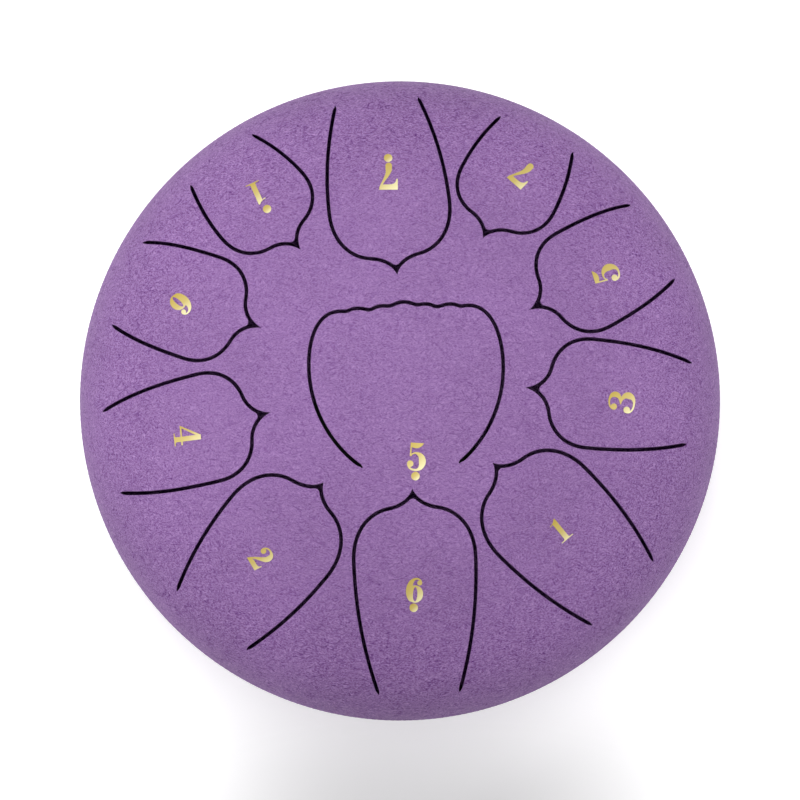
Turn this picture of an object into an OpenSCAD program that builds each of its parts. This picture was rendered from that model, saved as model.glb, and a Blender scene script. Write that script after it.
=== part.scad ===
// Steel tongue drum with eleven tongues.
// Two dished steel shells are welded at the rim. Slots through the upper one free ten petal tongues round
// a centre tongue, and each tongue carries a gold foil number. Millimetres, +Z up. The origin is on the
// floor under the middle of the drum. Low 7 lies at the back, along +Y, and low 6 at the front.

/* [Shells] */
// Outside diameter of the shells at the rim
drum_d = 255; // [220:5:320]
// Thickness of the sheet steel
sheet_t = 1.8; // [1.2:0.1:2.4]
// Outside radius of the crown of the upper shell
top_crown_r = 179.5; // [165:0.5:240]
// Outside radius of the knuckle between crown and rim on the upper shell
top_knuckle_r = 49.5; // [40:0.5:56]
// Outside radius of the crown of the lower shell
base_crown_r = 334.5; // [220:0.5:420]
// Outside radius of the knuckle on the lower shell
base_knuckle_r = 47; // [40:0.5:56]

/* [Rim weld] */
// Thickness of the weld bead
bead_d = 2.6; // [2.2:0.1:3.4]
// How far the bead stands proud of the shells
bead_proud = 0.3; // [0.1:0.1:0.8]

/* [Sound hole] */
// Clear diameter of the hole in the lower shell
hole_d = 70; // [50:1:80]
// Inside radius of the bend at the edge of the hole
lip_bend_r = 3; // [2:0.5:4]
// Height of the straight part of the turned-in edge
lip_h = 5; // [5:0.5:10]

/* [Tongues] */
// Width of the slots
slot_w = 1.4; // [1:0.1:2.2]
// Radius of a petal tongue's blunt tip
tip_r = 1.8; // [1:0.1:2.4]
// Line between the root of a tongue and the shell that it is one piece with
root_gap = 0.05; // [0.04:0.01:0.08]

/* [Numbers] */
// Height of the figure 5, which the others follow
digit_h = 10.8; // [8:0.2:12]
// Diameter of an octave dot
dot_d = 3.3; // [2.4:0.1:4]
// Least space between a figure and its dot
dot_gap = 0.3; // [0.2:0.1:1.2]
// Thickness of the foil
foil_t = 0.15; // [0.1:0.05:0.3]
// Adhesive film between the foil and the coat
foil_gap = 0.03; // [0.02:0.01:0.06]

/* [Feet] */
// Diameter of a rubber foot where it meets its pad
foot_d = 20; // [14:1:24]
// Diameter of the face that a foot stands on
foot_face_d = 17; // [11:1:22]
// Diameter of the circle that the feet stand on
foot_circle_d = 120; // [112:2:140]
// Height of the lowest point of the lower shell's crown above the floor
floor_gap = 4; // [2:0.5:8]
// Chamfer round the standing face
foot_chamfer = 0.8; // [0.4:0.1:1.5]
// Thickness of the adhesive disc over a foot
pad_t = 0.8; // [0.5:0.1:1.5]

/* [Hidden] */
$fn = 96;
STEEL = [0.60, 0.43, 0.70];
GOLD = [0.90, 0.80, 0.42];
RUBBER = [0.12, 0.12, 0.13];
FOAM = [0.75, 0.75, 0.72];

drum_r = drum_d / 2;
// Height of a crown's centre below the rim, so that crown and knuckle share a tangent
function crown_drop(crown_r, knuckle_r) = sqrt(pow(crown_r - knuckle_r, 2) - pow(drum_r - knuckle_r, 2));
top_drop = crown_drop(top_crown_r, top_knuckle_r);
base_drop = crown_drop(base_crown_r, base_knuckle_r);
base_h = base_crown_r - base_drop;
rim_z = base_h + floor_gap;
top_centre_z = rim_z - top_drop;
base_centre_z = rim_z + base_drop;
bead_centre_r = drum_r + bead_proud - bead_d / 2;
// Overrun of cuts, and of the cutters that reach past the whole drum
cut = bead_d;
reach = 2 * drum_d;

// Notes in the order of every table below; the first ten are petals and the last is the centre tongue
NOTES = ["low_6", "low_7", "1", "2", "3", "4", "5", "6", "7", "high_1", "low_5"];
// Figure of each note, and where its octave dot goes: -1 below it, 1 above it, 0 none
DIGITS = [6, 7, 1, 2, 3, 4, 5, 6, 7, 1, 5];
DOTS = [-1, -1, 0, 0, 0, 0, 0, 0, 0, 1, -1];
// Degrees: bearing of the root seen from the axis of the drum, and lean of the tongue's own axis from it
petal_turns = [[-86.3, -1.7], [94.5, 2], [-41.5, -2.5], [230, 0], [-1.5, -2.5],
               [191, 1.5], [31.5, -1], [157.5, 2.5], [62.5, 1], [127, 3]];
// Shares of the drum's radius: distance of the root's middle from the axis, length from the spike to the
// root, greatest half width and half width at the root
petal_shares = [[0.915, 0.615, 0.191, 0.131], [0.915, 0.555, 0.190, 0.135], [0.915, 0.560, 0.193, 0.143],
                [0.900, 0.540, 0.195, 0.147], [0.890, 0.500, 0.172, 0.132], [0.905, 0.500, 0.172, 0.135],
                [0.915, 0.440, 0.170, 0.140], [0.910, 0.435, 0.170, 0.143], [0.915, 0.385, 0.163, 0.131],
                [0.918, 0.385, 0.165, 0.130]];
// How far the spike of a slot runs on past that length, as a share of the drum's radius
spike_shares = [0.003, 0.005, 0.002, 0, 0.010, 0.007, 0.009, 0.011, -0.005, 0.004];
// Rise of the shoulders beside the spike, as shares of the half width: slender on the long petals
tip_shares = [0.26, 0.25, 0.26, 0.26, 0.35, 0.35, 0.35, 0.35, 0.35, 0.34];
// Where a petal is widest, as a share of its half width from the spike
widest_share = 1.1;

// Centre tongue: shares of the drum's radius for the root's place, the length, half width and root
centre_root_shares = [0.0325, -0.223];
centre_turn = 92.7;
centre_length_share = 0.5;
centre_half_share = 0.300;
centre_root_share = 0.157;
// Bulge of its root towards low 6, which leaves room for the number, as a share of the length
centre_bulge_share = 0.13;
// Scalloped end: dips and crests in turn from its corner to the middle, as shares of half width and length
wave_shares = [[0.593, 0.959], [0.472, 0.975], [0.345, 0.962], [0.22, 0.982], [0.146, 0.979], [0, 1]];

// Numbers: distance along the tongue from its spike and aside from its axis, as shares of the length
number_shares = [[0.515, 0.008], [0.577, 0.016], [0.51, 0.002], [0.549, 0.004], [0.577, 0.034],
                 [0.514, -0.012], [0.584, 0.045], [0.575, -0.02], [0.64, 0.048], [0.546, 0.023],
                 [0.983, 0.034]];
// Heights of the figures 1 to 7, as shares of the height of the 5
figure_height_shares = [0.87, 0.88, 0.99, 0.99, 1, 0.89, 1.03];
// The dot of the high 1 stands off towards the flag of the figure: aside and outwards, as shares of digit_h
high_dot_shares = [-0.1, 0.09];
// Degrees that each number is turned from standing square on its tongue
number_turns = [-5, -6.5, -5.5, -19, -7, -6.5, -13, -21, -15.5, -16, -5.8];

// Curves

function bezier_at(p, t) =
    pow(1 - t, 3) * p[0] + 3 * pow(1 - t, 2) * t * p[1] + 3 * (1 - t) * t * t * p[2] + pow(t, 3) * p[3];
// Points of one cubic from its start up to its end, without the end itself
function bezier(p, steps) = [for (i = [0:steps - 1]) bezier_at(p, i / steps)];
// Chain of cubics that share their end points: [start, handle, handle, joint, handle, handle, end]
function bezier_chain(p, steps) =
    [for (k = [0:3:len(p) - 2]) each bezier([p[k], p[k + 1], p[k + 2], p[k + 3]], steps), p[len(p) - 1]];
function mirrored(points) = [for (i = [len(points) - 1:-1:0]) [-points[i][0], points[i][1]]];
// Shallow bow from a to b that rises to its left by rise
function bow(a, b, rise, steps) =
    let (along = (b - a) / 4, up = [a[1] - b[1], b[0] - a[0]] / norm(b - a) * rise * 4 / 3)
    bezier([a, a + along + up, b - along + up, b], steps);

// Outlines in plan, in a tongue's own axes: the spike at the origin and the root up the page

// Right half of a petal's slot, along its outer edge
function petal_side(i) =
    let (length = petal_shares[i][1] * drum_r, half = petal_shares[i][2] * drum_r,
         root = petal_shares[i][3] * drum_r, tip = tip_shares[i] * half, widest = widest_share * half,
         body = length - widest)
    bezier_chain([[0, -spike_shares[i] * drum_r], [0.052 * half, 0.47 * tip], [0.20 * half, 0.88 * tip],
                  [0.40 * half, tip], [0.70 * half, tip + 0.05 * half], [half, tip + 0.38 * (widest - tip)],
                  [half, widest], [half, widest + 0.4 * body], [root + 0.09 * body, length - 0.3 * body],
                  [root, length]], 9);
// Outer edge of the slot, run on past the root by ext in the direction that it ends in
function petal_outline(i, ext) =
    let (side = petal_side(i), last = side[len(side) - 1], way = last - side[len(side) - 2],
         end = last + way / norm(way) * ext)
    concat(side, ext > 0 ? [end, [-end[0], end[1]]] : [], mirrored([for (p = side) if (p[0] > 0) p]));

module in_petal_axes(i) {
    bearing = petal_turns[i][0];
    root_r = petal_shares[i][0] * drum_r;
    translate([root_r * cos(bearing), root_r * sin(bearing)])
        rotate(bearing + petal_turns[i][1] - 90) translate([0, -petal_shares[i][1] * drum_r]) children();
}

// Opening that the slot and the petal fill together, with round slot ends
module petal_opening(i) {
    in_petal_axes(i) {
        polygon(petal_outline(i, 0));
        for (side = [-1, 1])
            translate([side * (petal_shares[i][3] * drum_r - slot_w / 2), petal_shares[i][1] * drum_r])
                circle(d = slot_w, $fn = 24);
    }
}

module petal_plate(i) {
    in_petal_axes(i) intersection() {
        offset(r = tip_r, $fn = 32) offset(delta = -slot_w - tip_r)
            polygon(petal_outline(i, 2 * (slot_w + tip_r)));
        translate([-drum_r, -drum_r]) square([drum_d, drum_r + petal_shares[i][1] * drum_r - root_gap]);
    }
}

// The centre tongue's outline has its root at the origin and its scalloped end up the page
centre_length = centre_length_share * drum_r;
centre_half = centre_half_share * drum_r;
centre_root = centre_root_share * drum_r;
centre_bulge = centre_bulge_share * centre_length;
wave_points = [for (s = wave_shares) [s[0] * centre_half, s[1] * centre_length]];

// Handles and end of a curve from a to b, level at both ends, that is tight in the dip and wide at the crest
function half_wave(a, b, rises) =
    let (w = b[0] - a[0], lead = rises ? 0.25 : 0.55) [a + [lead * w, 0], b - [(0.8 - lead) * w, 0], b];
// Right half of the centre slot's outer edge, from the root to the middle of its end
function centre_side() =
    bezier_chain([[centre_root, 0], [0.80 * centre_half, 0.13 * centre_length],
                  [centre_half, 0.35 * centre_length], [centre_half, 0.60 * centre_length],
                  [centre_half, 0.82 * centre_length], [0.86 * centre_half, 0.988 * centre_length],
                  wave_points[0],
                  for (k = [0:4]) each half_wave(wave_points[k], wave_points[k + 1], k % 2 == 0)], 8);
function centre_outline(ext) =
    let (side = centre_side(), first = side[0], way = first - side[1], end = first + way / norm(way) * ext)
    concat(ext > 0 ? [end] : [], side, mirrored([for (p = side) if (p[0] > 0) p]),
           ext > 0 ? [[-end[0], end[1]]] : []);
// Root line of the centre tongue, drawn in by gap
function centre_root_bow(gap) =
    bow([-centre_root, gap], [centre_root, gap], -centre_bulge, 12);

module in_centre_axes() {
    translate(centre_root_shares * drum_r) rotate(centre_turn - 90) children();
}

module centre_opening() {
    in_centre_axes() {
        polygon(centre_outline(0));
        polygon(concat(centre_root_bow(0), [[centre_root, 0]]));
        for (side = [-1, 1]) translate([side * (centre_root - slot_w / 2), 0]) circle(d = slot_w, $fn = 24);
    }
}

module centre_plate() {
    in_centre_axes() intersection() {
        offset(delta = -slot_w) polygon(centre_outline(2 * slot_w));
        translate([-drum_r, 0]) square(drum_d);
    }
}

// The bulge of the root, run on into the plate by the width of a slot
module centre_bulge_plate() {
    in_centre_axes()
        polygon(concat([for (p = centre_root_bow(root_gap)) if (abs(p[0]) < centre_root - slot_w) p],
                       [[centre_root - 2 * slot_w, slot_w], [2 * slot_w - centre_root, slot_w]]));
}

// Shells

// Part of the profile plane inside a dish, drawn in by inset, from hole_deg off the axis outwards
module dish_fill(crown_r, knuckle_r, inset, hole_deg = 0) {
    drop = crown_drop(crown_r, knuckle_r);
    translate([0, -drop]) intersection() {
        circle(r = crown_r - inset, $fn = 360);
        polygon([[0, 0], 2 * [drum_r - knuckle_r, drop], 2 * crown_r * [sin(hole_deg), cos(hole_deg)]]);
    }
    translate([drum_r - knuckle_r, 0]) intersection() {
        circle(r = knuckle_r - inset, $fn = 360);
        translate([0, -knuckle_r]) square([knuckle_r, 2 * knuckle_r]);
    }
}

// Cross-section of a dish in the quarter above the axis of X, its edge cut back to the weld bead. With a
// hole in the middle, the first child fills the outside of the hole's edge and the second one the inside.
module dish_profile(crown_r, knuckle_r, hole_deg = 0) {
    difference() {
        intersection() {
            union() {
                dish_fill(crown_r, knuckle_r, 0, hole_deg);
                if ($children > 0) children(0);
            }
            square(drum_d);
        }
        dish_fill(crown_r, knuckle_r, sheet_t, hole_deg);
        if ($children > 1) children(1);
        translate([bead_centre_r, 0]) circle(d = bead_d);
    }
}

module top_dish() {
    translate([0, 0, rim_z]) rotate_extrude($fn = 180) dish_profile(top_crown_r, top_knuckle_r);
}

module top_shell() {
    color(STEEL) difference() {
        top_dish();
        linear_extrude(reach) {
            for (i = [0:len(petal_shares) - 1]) petal_opening(i);
            centre_opening();
        }
    }
}

module petal_tongue(i) {
    color(STEEL) intersection() {
        top_dish();
        linear_extrude(reach) petal_plate(i);
    }
}

module centre_tongue() {
    color(STEEL) intersection() {
        top_dish();
        union() {
            linear_extrude(reach) centre_plate();
            linear_extrude(reach) centre_bulge_plate();
        }
    }
}

// Edge of the sound hole: the sheet bends up from the crown and ends in a straight collar
bend_r = hole_d / 2 + sheet_t + lip_bend_r;
bend_path_r = base_crown_r - sheet_t - lip_bend_r;
bend_drop = sqrt(bend_path_r * bend_path_r - bend_r * bend_r);
bend_deg = asin(bend_r / bend_path_r);

// Part of the profile plane inside the bend and its collar, drawn in by inset, with the collar down to depth
module lip_fill(inset, depth) {
    translate([bend_r, bend_drop - base_drop]) {
        circle(r = lip_bend_r + sheet_t - inset, $fn = 96);
        translate([-lip_bend_r - sheet_t + inset, -depth]) square([lip_bend_r + sheet_t - inset, depth]);
    }
}

module bottom_shell() {
    color(STEEL) translate([0, 0, rim_z]) rotate_extrude($fn = 180) mirror([0, 1])
        dish_profile(base_crown_r, base_knuckle_r, bend_deg) {
            lip_fill(0, lip_h);
            lip_fill(sheet_t, lip_h + cut);
        }
}

module seam_weld() {
    color(STEEL) translate([0, 0, rim_z])
        rotate_extrude($fn = 180) translate([bead_centre_r, 0]) circle(d = bead_d);
}

// Numbers: figures one unit high, drawn about their own middle

// Half-width profile swept along a curve of [x, y, half width] points
module stroke(chain, steps = 8) {
    points = bezier_chain(chain, steps);
    last = len(points) - 1;
    function way(k) =
        let (a = points[max(k - 1, 0)], b = points[min(k + 1, last)], d = [b[0] - a[0], b[1] - a[1]])
        d / norm(d);
    function edge(k, side) = [points[k][0], points[k][1]] + side * points[k][2] * [-way(k)[1], way(k)[0]];
    polygon(concat([for (k = [0:last]) edge(k, -1)], [for (k = [last:-1:0]) edge(k, 1)]));
}

module ball(at, r) {
    translate(at) circle(r = r, $fn = 32);
}

module oval(at, rx, ry) {
    steps = 28;
    polygon([for (k = [0:steps - 1]) at + [rx * cos(k * 360 / steps), ry * sin(k * 360 / steps)]]);
}

module digit_1() {
    polygon(concat([[-0.10, 0.36], [-0.10, -0.42], [-0.14, -0.455], [-0.29, -0.465], [-0.29, -0.50],
                    [0.31, -0.50], [0.31, -0.465], [0.16, -0.455], [0.12, -0.42], [0.12, 0.50], [0.07, 0.50]],
                   bezier_chain([[0.01, 0.44], [-0.07, 0.38], [-0.15, 0.36], [-0.24, 0.36]], 4),
                   [[-0.24, 0.32], [-0.16, 0.33]]));
}

module digit_2() {
    ball([-0.175, 0.225], 0.115);
    stroke([[-0.255, 0.26, 0.035], [-0.24, 0.39, 0.03], [-0.14, 0.47, 0.03], [-0.01, 0.465, 0.035],
            [0.13, 0.46, 0.06], [0.21, 0.37, 0.11], [0.20, 0.22, 0.11],
            [0.19, 0.03, 0.10], [-0.10, -0.10, 0.04], [-0.27, -0.46, 0.025]], 9);
    polygon(concat([[-0.31, -0.50], [0.30, -0.50], [0.33, -0.17], [0.29, -0.17]],
                   bezier_chain([[0.28, -0.25], [0.25, -0.31], [0.12, -0.305], [-0.02, -0.30],
                                 [-0.10, -0.30], [-0.18, -0.34], [-0.27, -0.42]], 6)));
}

module digit_3() {
    ball([-0.23, 0.255], 0.115);
    ball([-0.25, -0.235], 0.12);
    stroke([[-0.31, 0.28, 0.035], [-0.30, 0.40, 0.03], [-0.15, 0.47, 0.03], [-0.01, 0.465, 0.035],
            [0.14, 0.455, 0.05], [0.22, 0.37, 0.10], [0.22, 0.26, 0.105],
            [0.22, 0.14, 0.09], [0.10, 0.05, 0.05], [-0.10, 0.03, 0.02]], 9);
    stroke([[-0.10, 0.03, 0.02], [0.14, 0.05, 0.04], [0.28, -0.07, 0.11], [0.28, -0.21, 0.125],
            [0.28, -0.37, 0.10], [0.15, -0.46, 0.045], [-0.01, -0.465, 0.035],
            [-0.17, -0.47, 0.03], [-0.33, -0.41, 0.03], [-0.335, -0.26, 0.035]], 9);
}

module digit_4() {
    polygon([[0.05, 0.50], [0.05, -0.42], [0.01, -0.46], [-0.10, -0.465], [-0.10, -0.50], [0.37, -0.50],
             [0.37, -0.465], [0.27, -0.46], [0.23, -0.42], [0.23, 0.50]]);
    polygon([[-0.36, -0.25], [0.36, -0.25], [0.36, -0.19], [-0.26, -0.19], [0.06, 0.33], [0.06, 0.50]]);
}

module digit_5() {
    ball([-0.21, -0.25], 0.115);
    polygon(concat([[-0.23, 0.50], [-0.24, 0.02], [-0.19, 0.02], [-0.185, 0.33]],
                   bezier_chain([[-0.17, 0.34], [-0.06, 0.28], [0.12, 0.28], [0.24, 0.48]], 6),
                   [[0.24, 0.50]]));
    stroke([[-0.215, 0.02, 0.025], [-0.17, 0.12, 0.02], [-0.08, 0.155, 0.02], [0.01, 0.13, 0.04],
            [0.16, 0.09, 0.09], [0.22, -0.04, 0.125], [0.22, -0.17, 0.125],
            [0.22, -0.34, 0.10], [0.12, -0.46, 0.045], [-0.01, -0.465, 0.035],
            [-0.14, -0.47, 0.03], [-0.26, -0.42, 0.035], [-0.285, -0.29, 0.035]], 8);
}

module digit_6() {
    ball([0.19, 0.30], 0.10);
    stroke([[0.26, 0.32, 0.03], [0.24, 0.42, 0.03], [0.15, 0.47, 0.03], [0.06, 0.465, 0.035],
            [-0.12, 0.44, 0.06], [-0.22, 0.24, 0.12], [-0.215, -0.02, 0.135],
            [-0.21, -0.22, 0.13], [-0.18, -0.36, 0.10], [-0.10, -0.42, 0.06]], 9);
    difference() {
        oval([0.03, -0.15], 0.32, 0.35);
        oval([0.03, -0.16], 0.09, 0.29);
    }
}

module digit_7() {
    polygon(concat([[0.33, 0.50], [-0.34, 0.50], [-0.34, 0.10], [-0.29, 0.10]],
                   bezier_chain([[-0.28, 0.17], [-0.25, 0.26], [-0.18, 0.30], [-0.08, 0.305],
                                 [0.02, 0.31], [0.12, 0.31], [0.22, 0.31]], 6)));
    stroke([[0.29, 0.44, 0.03], [0.16, 0.14, 0.03], [-0.01, -0.04, 0.07], [-0.02, -0.24, 0.11],
            [-0.02, -0.30, 0.115], [-0.02, -0.34, 0.115], [-0.02, -0.385, 0.115]], 8);
    ball([-0.02, -0.385], 0.115);
}

module digit(figure) {
    if (figure == 1) digit_1();
    if (figure == 2) digit_2();
    if (figure == 3) digit_3();
    if (figure == 4) digit_4();
    if (figure == 5) digit_5();
    if (figure == 6) digit_6();
    if (figure == 7) digit_7();
}

// Figure and dot together, centred on the place of the number
module number_plate(i) {
    tall = digit_h * figure_height_shares[DIGITS[i] - 1];
    translate([0, -DOTS[i] * (dot_d + dot_gap) / 2]) scale(tall) digit(DIGITS[i]);
    away = DOTS[i] > 0 ? digit_h * high_dot_shares : [0, 0];
    if (DOTS[i] != 0) translate([0, DOTS[i] * (tall + dot_gap) / 2] + away) circle(d = dot_d, $fn = 32);
}

// Place of a number in plan, and the direction of its top
function turned(v, deg) = [v[0] * cos(deg) - v[1] * sin(deg), v[0] * sin(deg) + v[1] * cos(deg)];
function petal_point(i) =
    let (bearing = petal_turns[i][0], axis = bearing + petal_turns[i][1], s = petal_shares[i],
         along = (number_shares[i][0] - 1) * s[1], aside = number_shares[i][1] * s[1])
    drum_r * (s[0] * [cos(bearing), sin(bearing)] + turned([along, -aside], axis));
function centre_point(i) =
    drum_r * centre_root_shares
    + turned([(1 - number_shares[i][0]) * centre_length, -number_shares[i][1] * centre_length], centre_turn);
function is_petal(i) = i < len(petal_turns);
function number_point(i) = is_petal(i) ? petal_point(i) : centre_point(i);
function number_deg(i) =
    (is_petal(i) ? petal_turns[i][0] + petal_turns[i][1] + 90 : centre_turn - 90) + number_turns[i];

// The foil lies on the crown: a thin layer over it, trimmed to the figure as seen from above
module number(i) {
    skin_r = top_crown_r + foil_gap;
    color(GOLD) intersection() {
        translate([0, 0, top_centre_z]) difference() {
            sphere(r = skin_r + foil_t, $fn = 360);
            sphere(r = skin_r, $fn = 360);
        }
        translate([number_point(i)[0], number_point(i)[1], rim_z])
            rotate(number_deg(i)) linear_extrude(top_crown_r) number_plate(i);
    }
}

// Feet

module at_foot(k) {
    rotate(90 + k * 120) translate([foot_circle_d / 2, 0]) children();
}

module foot_pad(k) {
    color(FOAM) intersection() {
        at_foot(k) cylinder(d = foot_d, h = rim_z);
        translate([0, 0, base_centre_z]) difference() {
            sphere(r = base_crown_r + pad_t, $fn = 360);
            sphere(r = base_crown_r, $fn = 360);
        }
    }
}

module foot(k) {
    color(RUBBER) difference() {
        at_foot(k) rotate_extrude($fn = 64)
            polygon([[0, 0], [foot_face_d / 2 - foot_chamfer, 0], [foot_face_d / 2, foot_chamfer],
                     [foot_d / 2, rim_z - base_h + foot_chamfer], [foot_d / 2, rim_z / 2], [0, rim_z / 2]]);
        translate([0, 0, base_centre_z]) sphere(r = base_crown_r + pad_t, $fn = 360);
    }
}

top_shell();
bottom_shell();
seam_weld();
centre_tongue();  // tongue_low_5
petal_tongue(0);  // tongue_low_6
petal_tongue(1);  // tongue_low_7
petal_tongue(2);  // tongue_1
petal_tongue(3);  // tongue_2
petal_tongue(4);  // tongue_3
petal_tongue(5);  // tongue_4
petal_tongue(6);  // tongue_5
petal_tongue(7);  // tongue_6
petal_tongue(8);  // tongue_7
petal_tongue(9);  // tongue_high_1
number(10);  // number_low_5
number(0);  // number_low_6
number(1);  // number_low_7
number(2);  // number_1
number(3);  // number_2
number(4);  // number_3
number(5);  // number_4
number(6);  // number_5
number(7);  // number_6
number(8);  // number_7
number(9);  // number_high_1
foot_pad(0);  // foot_pad_1
foot_pad(1);  // foot_pad_2
foot_pad(2);  // foot_pad_3
foot(0);  // foot_1
foot(1);  // foot_2
foot(2);  // foot_3
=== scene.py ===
"""Visual model of a steel tongue drum in a wrinkled purple coat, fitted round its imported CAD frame.

Lengths are in millimetres until a piece is finished, and in metres from then on. +Z is up, the drum
stands on the floor at z = 0, and low 7 lies at the back, along +Y.
"""

import logging
import math
from dataclasses import dataclass, field
from enum import Enum
from typing import Iterable, Sequence

import bmesh
import bpy
from mathutils import Matrix, Vector, kdtree
from mathutils.geometry import delaunay_2d_cdt, interpolate_bezier

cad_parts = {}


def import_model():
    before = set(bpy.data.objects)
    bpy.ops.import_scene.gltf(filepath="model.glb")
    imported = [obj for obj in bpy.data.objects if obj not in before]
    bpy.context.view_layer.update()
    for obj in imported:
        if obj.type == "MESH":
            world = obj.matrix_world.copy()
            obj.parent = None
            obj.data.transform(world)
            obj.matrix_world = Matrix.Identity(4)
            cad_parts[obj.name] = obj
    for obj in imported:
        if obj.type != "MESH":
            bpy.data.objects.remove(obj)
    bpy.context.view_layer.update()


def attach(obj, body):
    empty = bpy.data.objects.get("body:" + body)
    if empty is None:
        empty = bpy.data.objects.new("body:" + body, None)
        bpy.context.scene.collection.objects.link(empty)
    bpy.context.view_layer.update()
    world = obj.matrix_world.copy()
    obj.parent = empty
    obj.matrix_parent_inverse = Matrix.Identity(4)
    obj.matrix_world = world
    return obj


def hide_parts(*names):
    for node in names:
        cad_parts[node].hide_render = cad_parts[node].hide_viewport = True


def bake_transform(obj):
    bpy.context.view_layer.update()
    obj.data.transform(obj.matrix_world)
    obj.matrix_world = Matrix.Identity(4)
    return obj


LOG = logging.getLogger("tongue_drum")
MM = 0.001
DRUM = "drum"
RIM_R = 127.5
RIM_Z = 62.5
SHEET = 1.8


class Slot(Enum):
    """Material slots of the record, each with one finish."""

    COAT = "powder_coat"
    FOIL = "gold_foil"
    FOAM = "adhesive_foam"
    RUBBER = "foot_rubber"


class Side(Enum):
    """Which way a dish bulges from the rim."""

    TOP = 1
    BOTTOM = -1


# Finishes


class Shader:
    """A material under construction, with its pattern on the piece's own coordinates."""

    def __init__(self, name: str) -> None:
        """Starts the material with one principled shader.

        Args:
            name: Name of the material.
        """
        self.material = bpy.data.materials.new(name)
        self.material.use_nodes = True
        self.tree = self.material.node_tree
        self.tree.nodes.clear()
        output = self.tree.nodes.new("ShaderNodeOutputMaterial")
        self.surface = self.tree.nodes.new("ShaderNodeBsdfPrincipled")
        self.tree.links.new(self.surface.outputs["BSDF"], output.inputs["Surface"])
        self.place = self.tree.nodes.new("ShaderNodeTexCoord").outputs["Object"]

    def node(self, kind: str, inputs: dict, **settings: object) -> bpy.types.Node:
        """Adds a node.

        Args:
            kind: Node type without its "ShaderNode" prefix.
            inputs: Value or output socket for each input, by name or number.
            **settings: Properties of the node.

        Returns:
            The new node.
        """
        node = self.tree.nodes.new("ShaderNode" + kind)
        for name, value in settings.items():
            setattr(node, name, value)
        for name, value in inputs.items():
            self.feed(node, name, value)
        return node

    def feed(self, node: bpy.types.Node, name: str | int, value: object) -> None:
        """Sets or links one input of a node.

        Args:
            node: Node to change.
            name: Name or number of the input.
            value: Plain value, or the output socket to link.
        """
        if isinstance(value, bpy.types.NodeSocket):
            self.tree.links.new(value, node.inputs[name])
        else:
            node.inputs[name].default_value = value

    def math(self, operation: str, a: object, b: object = 0.0) -> bpy.types.NodeSocket:
        """Adds a sum of two numbers.

        Args:
            operation: Blender's name of the operation.
            a: First value or socket.
            b: Second value or socket.

        Returns:
            The result's socket.
        """
        return self.node("Math", {0: a, 1: b}, operation=operation).outputs[0]

    def scaled(self, vector: object, by: object) -> bpy.types.NodeSocket:
        """Multiplies a vector or a colour by a number.

        Args:
            vector: Vector, colour or socket.
            by: Number or socket.

        Returns:
            The result's socket.
        """
        return self.node("VectorMath", {0: vector, "Scale": by}, operation="SCALE").outputs[0]

    def spread(
        self, value: object, low: float, high: float, out: tuple[float, float]
    ) -> bpy.types.NodeSocket:
        """Maps a range of a number onto another one, smoothly.

        Args:
            value: Number to map.
            low: Where the output starts.
            high: Where the output ends.
            out: Output at low and at high.

        Returns:
            The result's socket.
        """
        inputs = {"Value": value, "From Min": low, "From Max": high, "To Min": out[0], "To Max": out[1]}
        return self.node("MapRange", inputs, interpolation_type="SMOOTHSTEP").outputs["Result"]

    def clouds(
        self, scale: float, detail: float, at: object = None, rough: float = 0.5
    ) -> bpy.types.NodeSocket:
        """Adds a cloudy noise.

        Args:
            scale: Number of clouds to a metre.
            detail: Number of finer layers over them.
            at: Coordinates to draw it on, or None for the piece's own.
            rough: Strength of each finer layer over the one before.

        Returns:
            The noise's socket, from 0 to 1.
        """
        place = self.place if at is None else at
        inputs = {"Vector": place, "Scale": scale, "Detail": detail, "Roughness": rough}
        return self.node("TexNoise", inputs).outputs["Fac"]

    def ramp(
        self, value: object, stops: Sequence[tuple[float, tuple[float, float, float]]]
    ) -> bpy.types.NodeSocket:
        """Colours a number from 0 to 1.

        Args:
            value: Number to colour.
            stops: Position and linear colour of each stop, in order.

        Returns:
            The colour's socket.
        """
        node = self.node("ValToRGB", {"Fac": value})
        elements = node.color_ramp.elements
        for element, (position, colour) in zip(elements, (stops[0], stops[-1])):
            element.position, element.color = position, (*colour, 1.0)
        for position, colour in stops[1:-1]:
            elements.new(position).color = (*colour, 1.0)
        return node.outputs["Color"]

    def raised(self, height: object, relief: float, strength: float = 1.0) -> None:
        """Raises the surface by a pattern.

        Args:
            height: Pattern's socket.
            relief: Height in metres that one stands for.
            strength: Share of it that shows.
        """
        bump = self.node("Bump", {"Strength": strength, "Distance": relief, "Height": height})
        self.feed(self.surface, "Normal", bump.outputs["Normal"])


def linear(red: int, green: int, blue: int) -> tuple[float, float, float]:
    """Turns a colour as a screen shows it into the light it stands for.

    Args:
        red: Red from 0 to 255.
        green: Green from 0 to 255.
        blue: Blue from 0 to 255.

    Returns:
        The linear colour.
    """
    shares = (channel / 255 for channel in (red, green, blue))
    return tuple(c / 12.92 if c <= 0.04045 else ((c + 0.055) / 1.055) ** 2.4 for c in shares)


@dataclass(frozen=True)
class Finish:
    """A finish that pieces share.

    Attributes:
        name: Name of the material.
        slot: Material slot that it stands for.
    """

    name: str
    slot: Slot

    def material(self) -> bpy.types.Material:
        """Gives the finish's material, made on first use.

        Returns:
            The material.
        """
        made = bpy.data.materials.get(self.name)
        if made is None:
            shader = Shader(self.name)
            self.mix(shader)
            made = shader.material
            LOG.info("finish %s made", self.name)
        return made

    def mix(self, shader: Shader) -> None:
        """Fills in the shader.

        Args:
            shader: Material to fill in.
        """
        raise NotImplementedError

    def dress(self, obj: bpy.types.Object) -> None:
        """Puts the finish on a piece.

        Args:
            obj: Piece to dress.
        """
        obj.data.materials.clear()
        obj.data.materials.append(self.material())


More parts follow.
